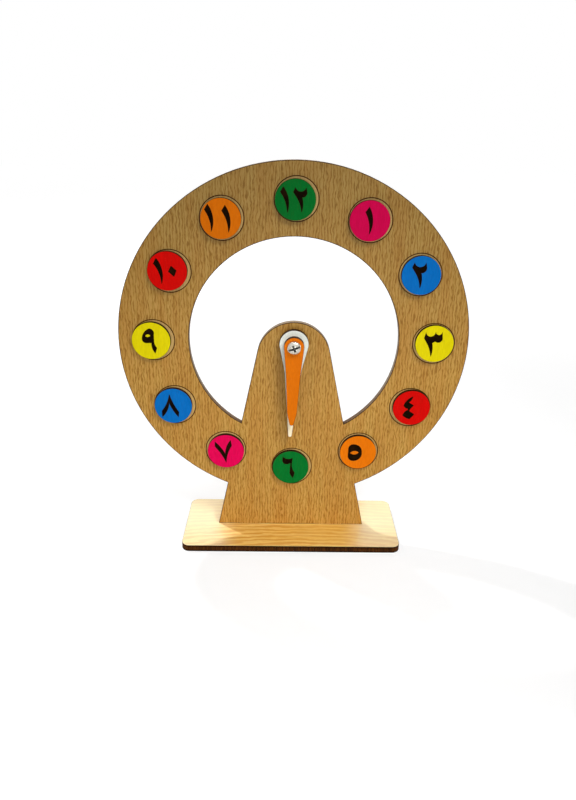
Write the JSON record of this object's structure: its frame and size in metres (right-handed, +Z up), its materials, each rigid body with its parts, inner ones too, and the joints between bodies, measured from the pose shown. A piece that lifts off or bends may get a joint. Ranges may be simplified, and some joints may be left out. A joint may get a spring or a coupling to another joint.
{
  "type": "teaching clock",
  "caption": "Ring-shaped wooden teaching clock on a flat base, with coloured number discs and hands that are set by hand.",
  "frame": {"origin": "middle of the base's underside, on the table", "axes": "+Z up, the dial faces -Y, +X to the right of someone who faces the dial"},
  "size_m": [0.25, 0.065, 0.2814],
  "materials": {
    "dial_board": "beech veneered board, satin, edges browned by the laser",
    "base_board": "pale veneered board, semi-gloss, edges browned by the laser",
    "green_board": "painted green, satin, engraved numeral browned by the laser",
    "pink_board": "painted pink, satin, engraved numeral browned by the laser",
    "blue_board": "painted blue, satin, engraved numeral browned by the laser",
    "yellow_board": "painted yellow, satin, engraved numeral browned by the laser",
    "red_board": "painted red, satin, engraved numeral browned by the laser",
    "orange_board": "painted orange, satin, edges browned by the laser",
    "white_board": "painted white, satin, edges browned by the laser",
    "steel": "zinc plated",
    "nylon": "natural nylon"
  },
  "bodies": {
    "stand": {"dial_plate": "dial_board", "base_plate": "base_board", "number_disc_01": "pink_board", "number_disc_02": "blue_board", "number_disc_03": "yellow_board", "number_disc_04": "red_board", "number_disc_05": "orange_board", "number_disc_06": "green_board", "number_disc_07": "pink_board", "number_disc_08": "blue_board", "number_disc_09": "yellow_board", "number_disc_10": "red_board", "number_disc_11": "orange_board", "number_disc_12": "green_board", "pivot_screw": "steel", "plate_spacer": "nylon", "hand_spacer": "nylon", "back_washer": "steel", "lock_nut": "steel", "nut_insert": "nylon"},
    "minute": {"minute_hand": "white_board"},
    "hour": {"hour_hand": "orange_board"}
  },
  "joints": [
    {"name": "minute_hand_turn", "type": "hinge", "parent": "stand", "child": "minute", "pos_m": [0, 0, 0.1564], "axis": [0, 1, 0], "continuous": true},
    {"name": "hour_hand_turn", "type": "hinge", "parent": "stand", "child": "hour", "pos_m": [0, 0, 0.1564], "axis": [0, 1, 0], "continuous": true}
  ]
}
